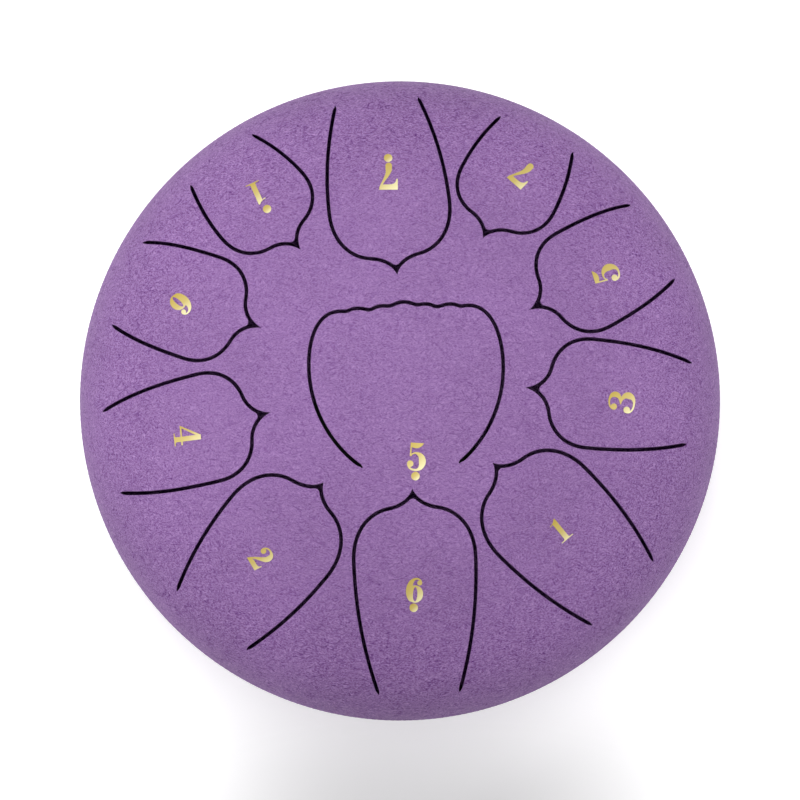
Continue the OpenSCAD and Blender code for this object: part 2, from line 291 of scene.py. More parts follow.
@dataclass(frozen=True)
class WrinkleCoat(Finish):
    """Powder coat that cured into a fine leather-like wrinkle, with painted light and shade on its relief.

    Attributes:
        colour: Linear colour of the coat.
        mottle: Darkest and brightest share of the colour in the broad patches.
        patches: Number of broad patches to a metre.
        painted_ridge_light: Painted light and shade: linear colour that the highest ridge gains over the
            deepest hollow.
        grain: Width of a wrinkle in metres.
        strand: Distance between the pale strands in metres.
        strand_half: Half width of a strand, in the noise that it follows.
        strand_mean: Mean of the strands, which is taken off them.
        lift: Share of the painted ridge light that a strand gains, as a painted highlight.
        cell: Size of the cells between the creases in metres.
        crease_half: Half width of a crease, as a share of a cell.
        faint: Strength of the creases where they are faintest.
        painted_crease_shade: Share of the painted ridge light that a crease takes away, as painted shade in
            the crease.
        swirl: How far the coordinates are bent, as a share of a cell.
        stretch: How much longer than wide a wrinkle lies, along X.
        relief: Height of the wrinkles in metres.
        swell: Height of the swell from cell to cell, as a share of the relief.
        dip: Depth of a crease, as a share of the relief.
        painted_shading_rim_gain: How much stronger the painted light and shade of the wrinkle is over the
            knuckle than in the middle.
        rim: Distances from the axis in metres at which that gain starts and is full.
        roughness: Roughness of the crests.
        dull: How much rougher a crease is.
        gloss: Specular level.
    """

    name: str = "wrinkle_coat"
    slot: Slot = Slot.COAT
    colour: tuple[float, float, float] = linear(138, 104, 156)
    mottle: tuple[float, float] = (0.96, 1.04)
    patches: float = 24.0
    painted_ridge_light: tuple[float, float, float] = (0.335, 0.25, 0.39)
    grain: float = 0.00045
    strand: float = 0.0012
    strand_half: float = 0.07
    strand_mean: float = 0.4
    lift: float = 0.13
    cell: float = 0.0029
    crease_half: float = 0.11
    faint: float = 0.35
    painted_crease_shade: float = 0.10
    swirl: float = 1.6
    stretch: float = 2.0
    relief: float = 0.0003
    swell: float = 0.7
    dip: float = 0.35
    painted_shading_rim_gain: float = 1.65
    rim: tuple[float, float] = (0.07, 0.115)
    roughness: float = 0.52
    dull: float = 0.16
    gloss: float = 0.07

    def bent(self, shader: Shader) -> bpy.types.NodeSocket:
        """Bends the coordinates, so that the wrinkles swirl, and draws them out along X.

        Args:
            shader: Material to fill in.

        Returns:
            The bent coordinates.
        """
        swirl = shader.node("TexNoise", {"Vector": shader.place, "Scale": 0.4 / self.cell, "Detail": 2.0})
        middle = {0: swirl.outputs["Color"], 1: (0.5, 0.5, 0.5)}
        shift = shader.node("VectorMath", middle, operation="SUBTRACT").outputs[0]
        parts = {0: shader.place, 1: shader.scaled(shift, self.swirl * self.cell)}
        moved = shader.node("VectorMath", parts, operation="ADD").outputs[0]
        return shader.node("Mapping", {"Vector": moved, "Scale": (1 / self.stretch, 1.0, 1.0)}).outputs[0]

    def creases(self, shader: Shader, bent: bpy.types.NodeSocket) -> bpy.types.NodeSocket:
        """Draws the creases between the cells, fainter in some places than in others.

        Args:
            shader: Material to fill in.
            bent: The bent coordinates.

        Returns:
            Up to one in a crease and zero beside it.
        """
        inputs = {"Vector": bent, "Scale": 1 / self.cell}
        edge = shader.node("TexVoronoi", inputs, feature="DISTANCE_TO_EDGE").outputs["Distance"]
        strength = shader.spread(shader.clouds(0.5 / self.cell, 2.0), 0.42, 0.62, (self.faint, 1.0))
        return shader.math("MULTIPLY", shader.spread(edge, 0.0, self.crease_half, (1.0, 0.0)), strength)

    def strands(self, shader: Shader, bent: bpy.types.NodeSocket) -> bpy.types.NodeSocket:
        """Draws the fine pale strands that run through the cells, as painted highlights.

        Args:
            shader: Material to fill in.
            bent: The bent coordinates.

        Returns:
            Share of the painted ridge light that they add, about zero on the whole.
        """
        off = shader.math("SUBTRACT", shader.clouds(1 / self.strand, 1.0, bent), 0.5)
        lines = shader.spread(shader.math("ABSOLUTE", off), 0.0, self.strand_half, (1.0, 0.0))
        return shader.math("MULTIPLY", shader.math("SUBTRACT", lines, self.strand_mean), self.lift)

    def painted_shading_over_rim(self, shader: Shader) -> bpy.types.NodeSocket:
        """Finds how strong the painted light and shade of the wrinkle is at each distance from the axis.

        Args:
            shader: Material to fill in.

        Returns:
            One in the middle and the rim's gain over the knuckle.
        """
        plan = {0: shader.place, 1: (1.0, 1.0, 0.0)}
        flat = shader.node("VectorMath", plan, operation="MULTIPLY").outputs[0]
        out = shader.node("VectorMath", {0: flat}, operation="LENGTH").outputs["Value"]
        return shader.spread(out, *self.rim, (1.0, self.painted_shading_rim_gain))

    def mix(self, shader: Shader) -> None:
        """Lays fine wrinkles, pale strands and creases in painted light and shade, and a slight mottling
        over the coat.

        Args:
            shader: Material to fill in.
        """
        bent = self.bent(shader)
        creases = self.creases(shader, bent)
        wrinkles = shader.clouds(1 / self.grain, 2.0, bent, 0.6)
        swell = shader.math("MULTIPLY", shader.clouds(1 / self.cell, 2.0, bent, 0.55), self.swell)
        dips = shader.math("MULTIPLY", creases, self.dip)
        shader.raised(shader.math("SUBTRACT", shader.math("ADD", wrinkles, swell), dips), self.relief)
        patches = shader.spread(shader.clouds(self.patches, 3.0), 0.3, 0.7, self.mottle)
        # Painted light and shade of the relief: ridges lighter and hollows darker than the coat's own
        # colour.
        rise = shader.math("ADD", shader.math("SUBTRACT", wrinkles, 0.5), self.strands(shader, bent))
        # Painted shade in the creases.
        rise = shader.math("SUBTRACT", rise, shader.math("MULTIPLY", creases, self.painted_crease_shade))
        # The painted light and shade grow stronger over the knuckle, where light grazes the relief.
        rise = shader.math("MULTIPLY", rise, self.painted_shading_over_rim(shader))
        shares = {0: shader.scaled(self.colour, patches), 1: shader.scaled(self.painted_ridge_light, rise)}
        colour = shader.node("VectorMath", shares, operation="ADD").outputs[0]
        shader.feed(shader.surface, "Base Color", colour)
        dull = shader.math("MULTIPLY", creases, self.dull)
        shader.feed(shader.surface, "Roughness", shader.math("ADD", self.roughness, dull))
        shader.feed(shader.surface, "Specular IOR Level", self.gloss)


@dataclass(frozen=True)
class FoilPatch:
    """One closed shape of foil.

    Attributes:
        centre: Its middle in metres.
        reach: Distance over which the painted sheen runs across it, in metres.
    """

    centre: Vector
    reach: float


@dataclass(frozen=True)
class GoldFoil(Finish):
    """Hot-stamped gold foil with a painted sheen that runs from gold to pale across each shape of a number.

    Attributes:
        patches: The figure and, where it has one, its octave dot.
        tones: Linear colours of the painted sheen, from the deep corner over the middle to the pale corner.
        way: Direction of the painted sheen from the deep corner to the pale one, in plan.
        middle: Share of the way at a shape's middle.
        clouds: Number of clouds to a metre in the film.
        cloudy: How far a cloud shifts the tone.
        metallic: Share of the look that is bare metal.
        roughness: Roughness of the clearest and of the cloudiest film.
        relief: Height of the film's unevenness in metres.
    """

    slot: Slot = Slot.FOIL
    patches: tuple[FoilPatch, ...] = ()
    tones: tuple[tuple[float, float, float], ...] = (
        linear(170, 145, 48), linear(185, 166, 95), linear(226, 220, 174))
    way: tuple[float, float] = (0.62, -0.78)
    middle: float = 0.42
    clouds: float = 240.0
    cloudy: float = 0.16
    metallic: float = 0.14
    roughness: tuple[float, float] = (0.44, 0.54)
    relief: float = 0.00003

    def across(self, shader: Shader, patch: FoilPatch) -> bpy.types.NodeSocket:
        """Runs the painted sheen's share diagonally over one shape.

        Args:
            shader: Material to fill in.
            patch: The shape.

        Returns:
            Zero at the deep corner and one at the pale corner.
        """
        own = shader.node("Mapping", {"Vector": shader.place, "Location": tuple(-patch.centre)})
        slope = (self.way[0] / patch.reach, self.way[1] / patch.reach, 0.0)
        parts = {0: own.outputs[0], 1: slope}
        along = shader.node("VectorMath", parts, operation="DOT_PRODUCT").outputs["Value"]
        return shader.math("ADD", along, self.middle)

    def mix(self, shader: Shader) -> None:
        """Runs the painted sheen over the figure and over its dot and adds the film's slight unevenness.

        Args:
            shader: Material to fill in.
        """
        share = self.across(shader, self.patches[0])
        for dot in self.patches[1:]:
            ends = {0: shader.place, 1: tuple(dot.centre)}
            away = shader.node("VectorMath", ends, operation="DISTANCE").outputs["Value"]
            here = shader.math("LESS_THAN", away, 0.5 * dot.reach)
            more = shader.math("SUBTRACT", self.across(shader, dot), share)
            share = shader.math("ADD", share, shader.math("MULTIPLY", more, here))
        cloud = shader.clouds(self.clouds, 2.0)
        share = shader.math("ADD", share, shader.math("MULTIPLY", cloud, self.cloudy))
        shader.feed(shader.surface, "Base Color", shader.ramp(share, [*zip((0.0, 0.5, 1.0), self.tones)]))
        shader.feed(shader.surface, "Metallic", self.metallic)
        shader.feed(shader.surface, "Roughness", shader.spread(cloud, 0.3, 0.7, self.roughness))
        shader.raised(cloud, self.relief, 0.4)


@dataclass(frozen=True)
class FootRubber(Finish):
    """Black moulded rubber with a fine matt grain.

    Attributes:
        tones: Linear colours of clean and of dusty rubber.
        grains: Number of grains to a metre.
        dust: Number of dusty patches to a metre.
        roughness: Roughness of clean and of dusty rubber.
        relief: Height of the grain in metres.
    """

    name: str = "foot_rubber"
    slot: Slot = Slot.RUBBER
    tones: tuple[tuple[float, float, float], ...] = (linear(31, 31, 33), linear(46, 45, 47))
    grains: float = 2600.0
    dust: float = 120.0
    roughness: tuple[float, float] = (0.66, 0.82)
    relief: float = 0.00005

    def mix(self, shader: Shader) -> None:
        """Lays the grain of the mould and faint dusty patches.

        Args:
            shader: Material to fill in.
        """
        dust = shader.clouds(self.dust, 4.0)
        shader.feed(shader.surface, "Base Color", shader.ramp(dust, [*zip((0.3, 0.75), self.tones)]))
        shader.feed(shader.surface, "Roughness", shader.spread(dust, 0.3, 0.7, self.roughness))
        shader.raised(shader.clouds(self.grains, 3.0), self.relief, 0.6)


@dataclass(frozen=True)
class AdhesiveFoam(Finish):
    """Pale closed-cell foam of the discs between feet and shell.

    Attributes:
        tones: Linear colours of a pore, painted darker as shade in its pit, and of the foam round it.
        pores: Number of pores to a metre.
        roughness: Roughness of the foam.
        relief: Depth of the pores in metres.
    """

    name: str = "adhesive_foam"
    slot: Slot = Slot.FOAM
    tones: tuple[tuple[float, float, float], ...] = (linear(150, 149, 142), linear(196, 195, 187))
    pores: float = 3200.0
    roughness: float = 0.88
    relief: float = 0.0001

    def mix(self, shader: Shader) -> None:
        """Lays the foam's pores, with painted shade in their pits.

        Args:
            shader: Material to fill in.
        """
        pores = shader.node("TexVoronoi", {"Vector": shader.place, "Scale": self.pores}).outputs["Distance"]
        shader.feed(shader.surface, "Base Color", shader.ramp(pores, [*zip((0.15, 0.6), self.tones)]))
        shader.feed(shader.surface, "Roughness", self.roughness)
        shader.raised(pores, self.relief, 0.8)


# Shapes


@dataclass(frozen=True)
class Dish:
    """Wall of a shell: a spherical crown that rolls over a knuckle to the vertical at the rim.

    Attributes:
        side: Which way the dish bulges.
        crown_r: Outside radius of the crown.
        knuckle_r: Outside radius of the knuckle.
        join_sin: Sine of the slope where crown and knuckle meet.
        join_cos: Cosine of that slope.
    """

    side: Side
    crown_r: float
    knuckle_r: float
    join_sin: float
    join_cos: float

    @property
    def join(self) -> float:
        """Slope where crown and knuckle meet, in radians."""
        return math.atan2(self.join_sin, self.join_cos)

    @property
    def crown_z(self) -> float:
        """Height of the crown's centre."""
        return RIM_Z - self.side.value * (self.crown_r - self.knuckle_r) * self.join_cos

    def at(self, slope: float, inset: float = 0.0) -> Vector:
        """Finds the skin where it slopes by so much.

        Args:
            slope: Lean of the skin's normal from the axis, in radians.
            inset: Depth below the outer skin.

        Returns:
            Radius and height of the point.
        """
        if slope <= self.join:
            centre, radius = Vector((0.0, self.crown_z)), self.crown_r - inset
        else:
            centre, radius = Vector((RIM_R - self.knuckle_r, RIM_Z)), self.knuckle_r - inset
        return centre + radius * Vector((math.sin(slope), self.side.value * math.cos(slope)))

    def slope_over(self, r: float, inset: float = 0.0) -> float:
        """Finds the slope of the skin at a distance from the axis.

        Args:
            r: Distance from the axis.
            inset: Depth below the outer skin.

        Returns:
            The slope in radians.
        """
        crown_r = self.crown_r - inset
        if r <= crown_r * self.join_sin:
            return math.asin(r / crown_r)
        return math.asin(min(1.0, (r - RIM_R + self.knuckle_r) / (self.knuckle_r - inset)))

    def run(self, slope: float) -> float:
        """Measures the outer skin from the pole.

        Args:
            slope: Slope at the far end, in radians.

        Returns:
            Length of the arc.
        """
        return min(slope, self.join) * self.crown_r + max(0.0, slope - self.join) * self.knuckle_r

    def slope_after(self, run: float) -> float:
        """Finds the slope at a distance along the outer skin from the pole.

        Args:
            run: Length of the arc.

        Returns:
            The slope in radians.
        """
        beyond = run - self.join * self.crown_r
        return run / self.crown_r if beyond <= 0 else self.join + beyond / self.knuckle_r

    def arc(self, start: float, end: float, inset: float = 0.0, pitch: float = 2.4) -> list[Vector]:
        """Traces the skin's profile between two slopes.

        Args:
            start: Slope where the line starts, in radians.
            end: Slope where it ends.
            inset: Depth below the outer skin.
            pitch: Greatest distance between points.

        Returns:
            Radius and height of each point.
        """
        low, high = sorted((start, end))
        stops = [start, *([self.join] if low < self.join < high else []), end]
        points = []
        for a, b in zip(stops, stops[1:]):
            count = max(2, math.ceil(abs(self.run(b) - self.run(a)) / pitch))
            points += [self.at(a + (b - a) * k / count, inset) for k in range(count)]
        return points + [self.at(end, inset)]


def traced(chain: Sequence[Vector], pitch: float) -> list[Vector]:
    """Places points along a chain of cubic curves that share their ends.

    Args:
        chain: Start, handle, handle, joint, handle, handle and so on up to the end.
        pitch: Distance between points, about.

    Returns:
        Points of the line.
    """
    points = []
    for k in range(0, len(chain) - 1, 3):
        start, out, back, end = chain[k:k + 4]
        length = (out - start).length + (back - out).length + (end - back).length
        points += interpolate_bezier(start, out, back, end, max(4, round(length / pitch)) + 1)[:-1]
    return [Vector(p).to_2d() for p in points] + [chain[-1]]


def bow(start: Vector, end: Vector, rise: float) -> list[Vector]:
    """Draws a shallow curve between two points.

    Args:
        start: First point.
        end: Last point.
        rise: How far the curve swings out to the left.

    Returns:
        Handle, handle and end of the curve.
    """
    way = end - start
    swing = Vector((-way.y, way.x)).normalized() * rise * 4 / 3
    return [start + way / 4 + swing, end - way / 4 + swing, end]


def inset_line(line: Sequence[Vector], by: float) -> list[Vector]:
    """Moves a line to its left, with mitred corners.

    Args:
        line: Points of the line.
        by: Distance to move it.

    Returns:
        Points of the new line.
    """
    normals = [Vector((a.y - b.y, b.x - a.x)).normalized() for a, b in zip(line, line[1:])]
    sides = zip([normals[0], *normals], [*normals, normals[-1]])
    return [p + (a + b) * by / (1 + a.dot(b)) for p, (a, b) in zip(line, sides)]


def crossing(a: Vector, b: Vector, axis: int) -> Vector:
    """Finds where a line meets an axis.

    Args:
        a: First point.
        b: Second point.
        axis: Coordinate that is zero there.

    Returns:
        The point on the axis.
    """
    return a + (b - a) * a[axis] / (a[axis] - b[axis])


@dataclass(frozen=True)
class Tongue:
    """A tongue's outline. In its own axes the root's middle is the origin and the tip lies along +Y.

    Attributes:
        note: Name of the note.
        slot_w: Width of the slot that frees the tongue.
        taper: Length over which the slot narrows to its end.
        end_share: Width of the slot at its end, as a share of its full width.
        tip_r: Radius of the tongue's blunt tip.
        pitch: Distance between points along the outline.
    """

    note: str
    slot_w: float = field(default=1.4, kw_only=True)
    taper: float = field(default=1.9, kw_only=True)
    end_share: float = field(default=0.3, kw_only=True)
    tip_r: float = field(default=1.8, kw_only=True)
    pitch: float = field(default=1.0, kw_only=True)

    @property
    def root(self) -> Vector:
        """Middle of the root in plan."""
        raise NotImplementedError

    @property
    def heading(self) -> float:
        """Direction from root to tip in plan, in degrees."""
        raise NotImplementedError

    @property
    def body(self) -> str:
        """CAD body that the tongue swings with."""
        return f"note_{self.note}"

    def half_chain(self) -> list[Vector]:
        """Draws the slot's outer edge on the right, from the root to the tip.

        Returns:
            The chain of cubic curves.
        """
        raise NotImplementedError

    def root_chain(self, half: float) -> list[Vector]:
        """Draws the root, from left to right.

        Args:
            half: Half of its width.

        Returns:
            The chain of cubic curves.
        """
        raise NotImplementedError

    def in_plan(self, p: Vector) -> Vector:
        """Places a point of the tongue on the drum.

        Args:
            p: Point in the tongue's axes.

        Returns:
            The point in plan.
        """
        return self.root + Matrix.Rotation(math.radians(self.heading - 90), 2) @ p

    def edges(self) -> tuple[list[Vector], list[Vector]]:
        """Draws the right halves of both edges of the slot, from the root to the tip.

        Returns:
            The outer edge, and the inner edge that the tongue ends at.
        """
        outer = traced(self.half_chain(), self.pitch)
        run_in = [outer[0] + (outer[0] - outer[1]).normalized() * 2 * self.slot_w, *outer]
        line, middles = inset_line(run_in, self.slot_w), inset_line(run_in, self.slot_w + self.tip_r)
        while line[1].y <= 0:
            line.pop(0)
            middles.pop(0)
        inner = [crossing(line[0], line[1], 1)]
        k = 1
        while k < len(line) and middles[k].x > 1e-3:
            inner.append(line[k])
            k += 1
        gap = outer[0].x - inner[0].x
        outer, inner = self.narrowed(outer, -gap), self.narrowed(inner, gap)
        if k == len(line) or self.tip_r == 0:
            return outer, [*inner, Vector((0.0, line[min(k, len(line) - 1)].y))]
        share = middles[k - 1].x / (middles[k - 1].x - middles[k].x)
        middle, edge = middles[k - 1].lerp(middles[k], share), line[k - 1].lerp(line[k], share)
        way = edge - middle
        lean = math.atan2(way.x, way.y)
        turns = (lean * (1 - n / 5) for n in range(6))
        return outer, [*inner, *(middle + self.tip_r * Vector((math.sin(a), math.cos(a))) for a in turns)]

    def narrowed(self, line: list[Vector], gap: float) -> list[Vector]:
        """Draws one edge of the slot towards the other near the slot's end.

        Args:
            line: Edge from the root on.
            gap: Way across to the other edge along X.

        Returns:
            The edge with its first stretch moved.
        """
        reach = [min(1.0, (p - line[0]).length / self.taper) for p in line]
        way = gap * (1 - self.end_share) / 2
        return [p + Vector((way * (1 - share) ** 2, 0.0)) for p, share in zip(line, reach)]

    def cap(self, outer: Vector, inner: Vector, steps: int = 8) -> list[Vector]:
        """Rounds the slot's right end from the inner edge to the outer one.

        Args:
            outer: End of the outer edge.
            inner: End of the inner edge.
            steps: Number of steps.

        Returns:
            Points between the ends.
        """
        middle, radius = (outer + inner) / 2, (outer - inner) / 2
        return [middle + Matrix.Rotation(math.pi * (1 + k / steps), 2) @ radius for k in range(1, steps)]


@dataclass(frozen=True)
class Petal(Tongue):
    """A petal of the ring. Its sizes are shares of the drum's radius.

    Attributes:
        bearing: Bearing of the root from the drum's axis, in degrees.
        lean: Lean of the petal's own axis from that bearing, in degrees.
        root_share: Distance of the root from the axis.
        length_share: Length from root to spike.
        half_share: Greatest half width.
        root_half_share: Half width at the root.
        shoulder: Rise of the shoulders beside the spike, as a share of the half width.
        spike: How far the slot's spike runs on past the length.
    """

    bearing: float
    lean: float
    root_share: float
    length_share: float
    half_share: float
    root_half_share: float
    shoulder: float
    spike: float

    @property
    def root(self) -> Vector:
        """Middle of the root in plan."""
        angle = math.radians(self.bearing)
        return self.root_share * RIM_R * Vector((math.cos(angle), math.sin(angle)))

    @property
    def heading(self) -> float:
        """Direction from root to tip in plan, in degrees."""
        return self.bearing + self.lean + 180

    def half_chain(self) -> list[Vector]:
        """Draws the slot's outer edge on the right: a long side, a shoulder and the spike.

        Returns:
            The chain of cubic curves.
        """
        half, length = self.half_share * RIM_R, self.length_share * RIM_R
        root, tip, widest = self.root_half_share * RIM_R, self.shoulder * half, 1.1 * half
        body = length - widest
        return [Vector(p) for p in (
            (root, 0.0), (root + 0.09 * body, 0.3 * body), (half, 0.6 * body), (half, body),
            (half, length - tip - 0.38 * (widest - tip)), (0.70 * half, length - tip - 0.05 * half),
            (0.40 * half, length - tip),
            (0.20 * half, length - 0.88 * tip), (0.052 * half, length - 0.47 * tip),
            (0.0, length + self.spike * RIM_R))]

    def root_chain(self, half: float) -> list[Vector]:
        """Draws the straight root, from left to right.

        Args:
            half: Half of its width.

        Returns:
            The chain of cubic curves.
        """
        start, end = Vector((-half, 0.0)), Vector((half, 0.0))
        return [start, *bow(start, end, 0.0)]


@dataclass(frozen=True)
class CentreTongue(Tongue):
    """The big middle tongue, with a scalloped end and a bulging root.

    Attributes:
        place: Root's middle in plan.
        turn: Direction of the tongue in degrees.
        length: Length from the root's line to the end.
        half: Greatest half width.
        root_half: Half width at the root.
        bulge: Swing of the root away from the tongue.
        wave: Dips and crests of the end in turn, from its corner to the middle, as shares of half width
            and length.
    """

    place: tuple[float, float] = (4.14375, -28.4325)
    turn: float = 92.7
    length: float = 63.75
    half: float = 38.25
    root_half: float = 20.0175
    bulge: float = 8.2875
    wave: tuple[tuple[float, float], ...] = (
        (0.593, 0.959), (0.472, 0.975), (0.345, 0.962), (0.22, 0.982), (0.146, 0.979), (0.0, 1.0))

    @property
    def root(self) -> Vector:
        """Middle of the root in plan."""
        return Vector(self.place)

    @property
    def heading(self) -> float:
        """Direction from root to tip in plan, in degrees."""
        return self.turn

    def half_chain(self) -> list[Vector]:
        """Draws the slot's outer edge on the right: the round side and half of the waved end.

        Returns:
            The chain of cubic curves.
        """
        half, length = self.half, self.length
        wave = [Vector((x * half, y * length)) for x, y in self.wave]
        chain = [Vector(p) for p in (
            (self.root_half, 0.0), (0.80 * half, 0.13 * length), (half, 0.35 * length),
            (half, 0.60 * length), (half, 0.82 * length), (0.86 * half, 0.988 * length), wave[0])]
        for k, (a, b) in enumerate(zip(wave, wave[1:])):
            across, lead = Vector((b.x - a.x, 0.0)), 0.55 if k % 2 else 0.25
            chain += [a + across * lead, b - across * (0.8 - lead), b]
        return chain

    def root_chain(self, half: float) -> list[Vector]:
        """Draws the bulging root, from left to right.

        Args:
            half: Half of its width.

        Returns:
            The chain of cubic curves.
        """
        start, end = Vector((-half, 0.0)), Vector((half, 0.0))
        return [start, *bow(start, end, -self.bulge)]


# Note, bearing, lean, root_share, length_share, half_share, root_half_share, shoulder, spike
PETALS = (
    Petal("low_6", -86.3, -1.7, 0.915, 0.615, 0.191, 0.131, 0.26, 0.003),
    Petal("low_7", 94.5, 2.0, 0.915, 0.555, 0.190, 0.135, 0.25, 0.005),
    Petal("1", -41.5, -2.5, 0.915, 0.560, 0.193, 0.143, 0.26, 0.002),
    Petal("2", 230.0, 0.0, 0.900, 0.540, 0.195, 0.147, 0.26, 0.0),
    Petal("3", -1.5, -2.5, 0.890, 0.500, 0.172, 0.132, 0.35, 0.010),
    Petal("4", 191.0, 1.5, 0.905, 0.500, 0.172, 0.135, 0.35, 0.007),
    Petal("5", 31.5, -1.0, 0.915, 0.440, 0.170, 0.140, 0.35, 0.009),
    Petal("6", 157.5, 2.5, 0.910, 0.435, 0.170, 0.143, 0.35, 0.011),
    Petal("7", 62.5, 1.0, 0.915, 0.385, 0.163, 0.131, 0.35, -0.005),
    Petal("high_1", 127.0, 3.0, 0.918, 0.385, 0.165, 0.130, 0.34, 0.004),
)


# Pieces


def spun(profile: Iterable[Vector], steps: int) -> bmesh.types.BMesh:
    """Turns a closed profile once round the axis.

    Args:
        profile: Radius and height of each point, the last joined to the first unless both are on the axis.
        steps: Number of steps round the axis.

    Returns:
        The solid, in millimetres.
    """
    bm = bmesh.new()
    verts = [bm.verts.new((p[0], 0.0, p[1])) for p in profile]
    ends = [] if verts[0].co.x == verts[-1].co.x == 0 else [(verts[-1], verts[0])]
    edges = [bm.edges.new(pair) for pair in [*zip(verts, verts[1:]), *ends]]
    bmesh.ops.spin(bm, geom=[*verts, *edges], cent=(0, 0, 0), axis=(0, 0, 1), dvec=(0, 0, 0),
                   angle=math.tau, steps=steps, use_merge=True)
    bmesh.ops.remove_doubles(bm, verts=bm.verts, dist=1e-4)
    bmesh.ops.recalc_face_normals(bm, faces=bm.faces)
    return bm


def finished(bm: bmesh.types.BMesh, name: str, finish: Finish, sharp: float = 40.0) -> bpy.types.Object:
    """Makes a smooth-shaded piece at the origin, in metres.

    Args:
        bm: Shape in millimetres, which is freed.
        name: Name of the piece.
        finish: Its finish.
        sharp: Angle in degrees above which an edge stays sharp.

    Returns:
        The piece.
    """
    bm.transform(Matrix.Scale(MM, 4))
    mesh = bpy.data.meshes.new(name)
    bm.to_mesh(mesh)
    bm.free()
    mesh.polygons.foreach_set("use_smooth", [True] * len(mesh.polygons))
    mesh.set_sharp_from_angle(angle=math.radians(sharp))
    obj = bpy.data.objects.new(name, mesh)
    bpy.context.scene.collection.objects.link(obj)
    finish.dress(obj)
    LOG.info("%s: %d faces", name, len(mesh.polygons))
    return obj


@dataclass
class Drumhead:
    """Upper shell and its tongues, laid out as one sheet and parted along the slots.

    Attributes:
        dish: Form of the sheet.
        tongues: Tongues cut into it.
        rim_steps: Number of points round the rim.
        mesh_pitch: Distance between points over the open sheet.
        edge_r: Radius of the rounded slot edges.
        straight_r: Plan radius up to which the slots are cut straight down.
        flex: Length of a tongue's bending stretch from its root; its ends are worked out but not used.
        skin_gap: Distance from the outer skin up to which a corner belongs to it.
        skin_turn: Least cosine between the skin's normal and that of a face that lies in it.
        points: Points laid on the flat sheet so far.
        polygons: Outlines among them, first the rim, then each tongue's slot and plate.
    """

    dish: Dish = Dish(Side.TOP, 179.5, 49.5, 0.6, 0.8)
    tongues: tuple[Tongue, ...] = (*PETALS, CentreTongue("low_5", tip_r=0.0))
    rim_steps: int = 512
    mesh_pitch: float = 2.6
    edge_r: float = 0.25
    straight_r: float = 119.2
    flex: float = 12.0
    skin_gap: float = 0.01
    skin_turn: float = 0.7
    points: list[Vector] = field(default_factory=list)
    polygons: list[list[int]] = field(default_factory=list)

    def unrolled(self, p: Vector) -> Vector:
        """Lays a plan point out so that its distance from the middle is the arc to it.

        Args:
            p: Point in plan.

        Returns:
            The point on the flat sheet.
        """
        return p * (self.dish.run(self.dish.slope_over(p.length)) / p.length)

    def lifted(self, p: Vector) -> Vector:
        """Puts a point of the flat sheet on the outer skin.

        Args:
            p: Point on the flat sheet.

        Returns:
            The point on the dish.
        """
        r, z = self.dish.at(self.dish.slope_after(p.length))
        return Vector((*(p.normalized() * r), z))

    def sunk(self, p: Vector) -> Vector:
        """Finds the point of the inner skin that belongs to one of the outer skin.

        Args:
            p: Point on the outer skin.

        Returns:
            The point straight below it, or square to the skin towards the rim.
        """
        r = Vector(p[:2]).length
        share = min(1.0, max(0.0, (r - self.straight_r) / (RIM_R - self.straight_r)))
        slope = self.dish.slope_over(r)
        in_r = r - SHEET * math.sin(slope) * share * share * (3 - 2 * share)
        skin_r, z = self.dish.at(self.dish.slope_over(in_r, SHEET), SHEET)
        scale = skin_r / r if r > 0 else 1.0
        return Vector((p.x * scale, p.y * scale, z))

    def normal(self, p: Vector) -> Vector:
        """Finds the outer skin's normal.

        Args:
            p: Point on the outer skin.

        Returns:
            The unit normal.
        """
        r = Vector(p[:2]).length
        slope = self.dish.slope_over(r)
        way = Vector(p[:2]) / r if r > 0 else Vector((0.0, 0.0))
        return Vector((*(way * math.sin(slope)), math.cos(slope)))

    def lay(self, line: Iterable[Vector]) -> list[int]:
        """Adds points to the flat sheet.

        Args:
            line: Points in plan.

        Returns:
            Their numbers.
        """
        start = len(self.points)
        self.points += [self.unrolled(p) for p in line]
        return list(range(start, len(self.points)))

    def lay_whole(self, tongue: Tongue, half: list[Vector]) -> list[int]:
        """Adds one edge of a tongue's slot from its right half.

        Args:
            tongue: Tongue that the edge belongs to.
            half: Points of the right half in the tongue's axes, with the tip last.

        Returns:
            The points' numbers, from the right end over the tip to the left end.
        """
        mirrored = [Vector((-p.x, p.y)) for p in half[-2::-1]]
        return self.lay(tongue.in_plan(p) for p in [*half, *mirrored])

    def lay_tongue(self, tongue: Tongue) -> None:
        """Draws a tongue's slot and plate on the flat sheet.

        Args:
            tongue: Tongue to draw.
        """
        outer, inner = tongue.edges()
        cap = tongue.cap(outer[0], inner[0])
        rim, edge = self.lay_whole(tongue, outer), self.lay_whole(tongue, inner)
        right = self.lay(tongue.in_plan(p) for p in cap)
        left = self.lay(tongue.in_plan(Vector((-p.x, p.y))) for p in cap[::-1])
        root = self.lay(tongue.in_plan(p) for p in traced(tongue.root_chain(inner[0].x), tongue.pitch)[1:-1])
        self.polygons.append([*rim, *left, *edge[::-1], *right])
        self.polygons.append([*edge, *root])

    def lay_grid(self) -> None:
        """Fills the flat sheet with staggered rings of points that keep clear of the outlines."""
        tree = kdtree.KDTree(len(self.points))
        for k, p in enumerate(self.points):
            tree.insert((p.x, p.y, 0.0), k)
        tree.balance()
        whole = self.dish.run(math.pi / 2)
        for ring in range(1, int(whole / self.mesh_pitch) + 1):
            reach = ring * self.mesh_pitch
            count = round(math.tau * ring)
            for k in range(count):
                angle = (k + ring % 2 / 2) * math.tau / count
                p = reach * Vector((math.cos(angle), math.sin(angle)))
                clear = min(whole - reach, tree.find((p.x, p.y, 0.0))[2])
                if clear > self.mesh_pitch / 2:
                    self.points.append(p)
        self.points.append(Vector((0.0, 0.0)))

